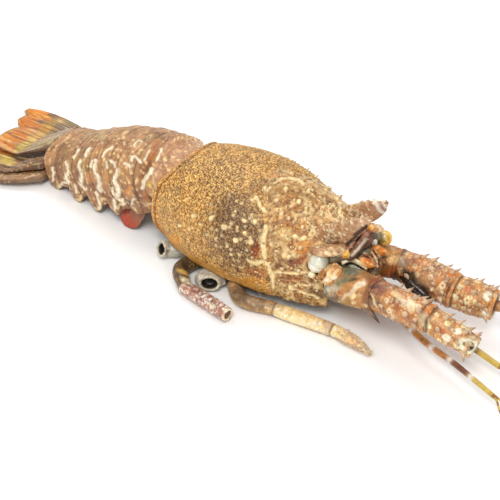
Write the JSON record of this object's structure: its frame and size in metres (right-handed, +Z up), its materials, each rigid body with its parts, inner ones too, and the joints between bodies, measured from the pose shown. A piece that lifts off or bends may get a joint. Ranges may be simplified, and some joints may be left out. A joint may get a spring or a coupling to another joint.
{
  "type": "spiny lobster",
  "caption": "Still life-size spiny lobster: spiny carapace with two horns, plated tail with fan, spiny antenna stalks, one whole long feeler, near legs broken short.",
  "frame": {"origin": "middle of the front-to-rear line of the flat resting face under the thorax, on the floor", "axes": "+X towards the head, +Y towards the animal's left, +Z up from the floor"},
  "size_m": [0.795, 0.3137, 0.0792],
  "materials": {
    "carapace_shell": "matt shell with granules and spines",
    "abdomen_shell": "satin shell with pale spots",
    "tail_fan": "satin, ribbed, orange to grey-brown",
    "sternum_plate": "matt pale shell",
    "swimmeret_skin": "satin brick red skin",
    "leg_shell": "satin mottled shell",
    "antenna_shell": "satin spiny shell",
    "feeler_shell": "satin ringed shell",
    "eyestalk_skin": "satin skin",
    "eye_cornea": "glossy clouded",
    "head_plate": "satin shell"
  },
  "bodies": {
    "root": {"abdomen_1": "abdomen_shell", "abdomen_2": "abdomen_shell", "abdomen_3": "abdomen_shell", "abdomen_4": "abdomen_shell", "abdomen_5": "abdomen_shell", "abdomen_6": "abdomen_shell", "antenna_L_1": "antenna_shell", "antenna_L_2": "antenna_shell", "antenna_L_3": "antenna_shell", "antenna_R_1": "antenna_shell", "antenna_R_2": "antenna_shell", "antenna_R_3": "antenna_shell", "antennule_L": "feeler_shell", "antennule_L_whip_1": "feeler_shell", "antennule_L_whip_2": "feeler_shell", "antennule_R": "feeler_shell", "antennule_R_whip_1": "feeler_shell", "antennule_R_whip_2": "feeler_shell", "carapace": "carapace_shell", "eye_L": "eye_cornea", "eye_R": "eye_cornea", "eyestalk_L": "eyestalk_skin", "eyestalk_R": "eyestalk_skin", "feeler_L_1": "feeler_shell", "feeler_L_2": "feeler_shell", "head": "head_plate", "leg_L1_lower": "leg_shell", "leg_L1_upper": "leg_shell", "leg_L2_lower": "leg_shell", "leg_L2_upper": "leg_shell", "leg_L3_lower": "leg_shell", "leg_L3_upper": "leg_shell", "leg_L4_lower": "leg_shell", "leg_L4_upper": "leg_shell", "leg_L5_lower": "leg_shell", "leg_L5_upper": "leg_shell", "leg_R1_stump": "leg_shell", "leg_R2_claw": "leg_shell", "leg_R2_lower": "leg_shell", "leg_R2_upper": "leg_shell", "leg_R3_stump": "leg_shell", "leg_R4_lower": "leg_shell", "leg_R4_upper": "leg_shell", "leg_R5_stump": "leg_shell", "maxilliped_L": "leg_shell", "maxilliped_R": "leg_shell", "sternum": "sternum_plate", "swimmeret_L2": "swimmeret_skin", "swimmeret_L3": "swimmeret_skin", "swimmeret_L4": "swimmeret_skin", "swimmeret_L5": "swimmeret_skin", "swimmeret_R2": "swimmeret_skin", "swimmeret_R3": "swimmeret_skin", "swimmeret_R4": "swimmeret_skin", "swimmeret_R5": "swimmeret_skin", "telson": "tail_fan", "uropod_inner_L": "tail_fan", "uropod_inner_R": "tail_fan", "uropod_outer_L": "tail_fan", "uropod_outer_R": "tail_fan"}
  },
  "joints": []
}
